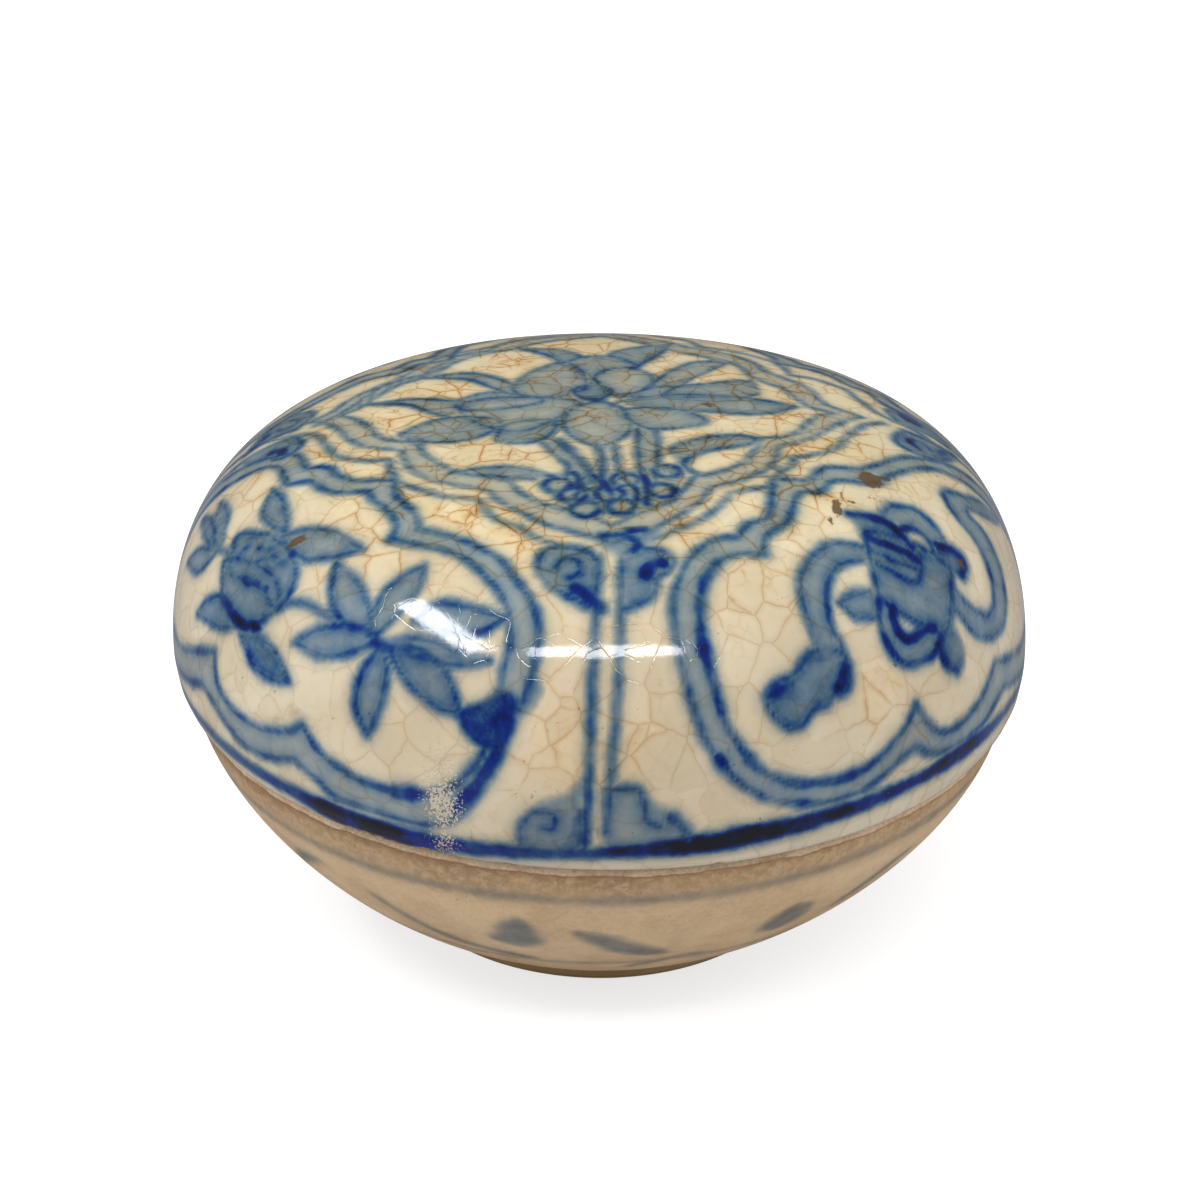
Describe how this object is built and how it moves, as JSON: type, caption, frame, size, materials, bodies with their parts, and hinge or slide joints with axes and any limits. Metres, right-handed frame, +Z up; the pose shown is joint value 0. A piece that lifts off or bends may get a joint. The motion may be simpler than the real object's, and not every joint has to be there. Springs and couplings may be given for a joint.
{
  "type": "porcelain trinket box",
  "caption": "Round lidded porcelain box: a flat-topped domed cover lifts off a shallow footed base with an upstanding rim.",
  "frame": {"origin": "centre of the foot ring's resting face", "axes": "+Z up along the box's axis; -Y is the front, where one of the four dividers between the cover's painted panels runs down"},
  "size_m": [0.12, 0.12, 0.073],
  "materials": {
    "cover_glaze": "glossy warm cream crackled glaze over hand-brushed blue painting",
    "base_glaze": "stained greyish-buff glaze with a soft sheen over sparse grey-blue brush marks"
  },
  "bodies": {
    "base": {"base": "base_glaze"},
    "cover": {"cover": "cover_glaze"}
  },
  "joints": [
    {"name": "cover_lift", "type": "slide", "parent": "base", "child": "cover", "axis": [0, 0, 1], "range_m": [0, 0.08]}
  ]
}
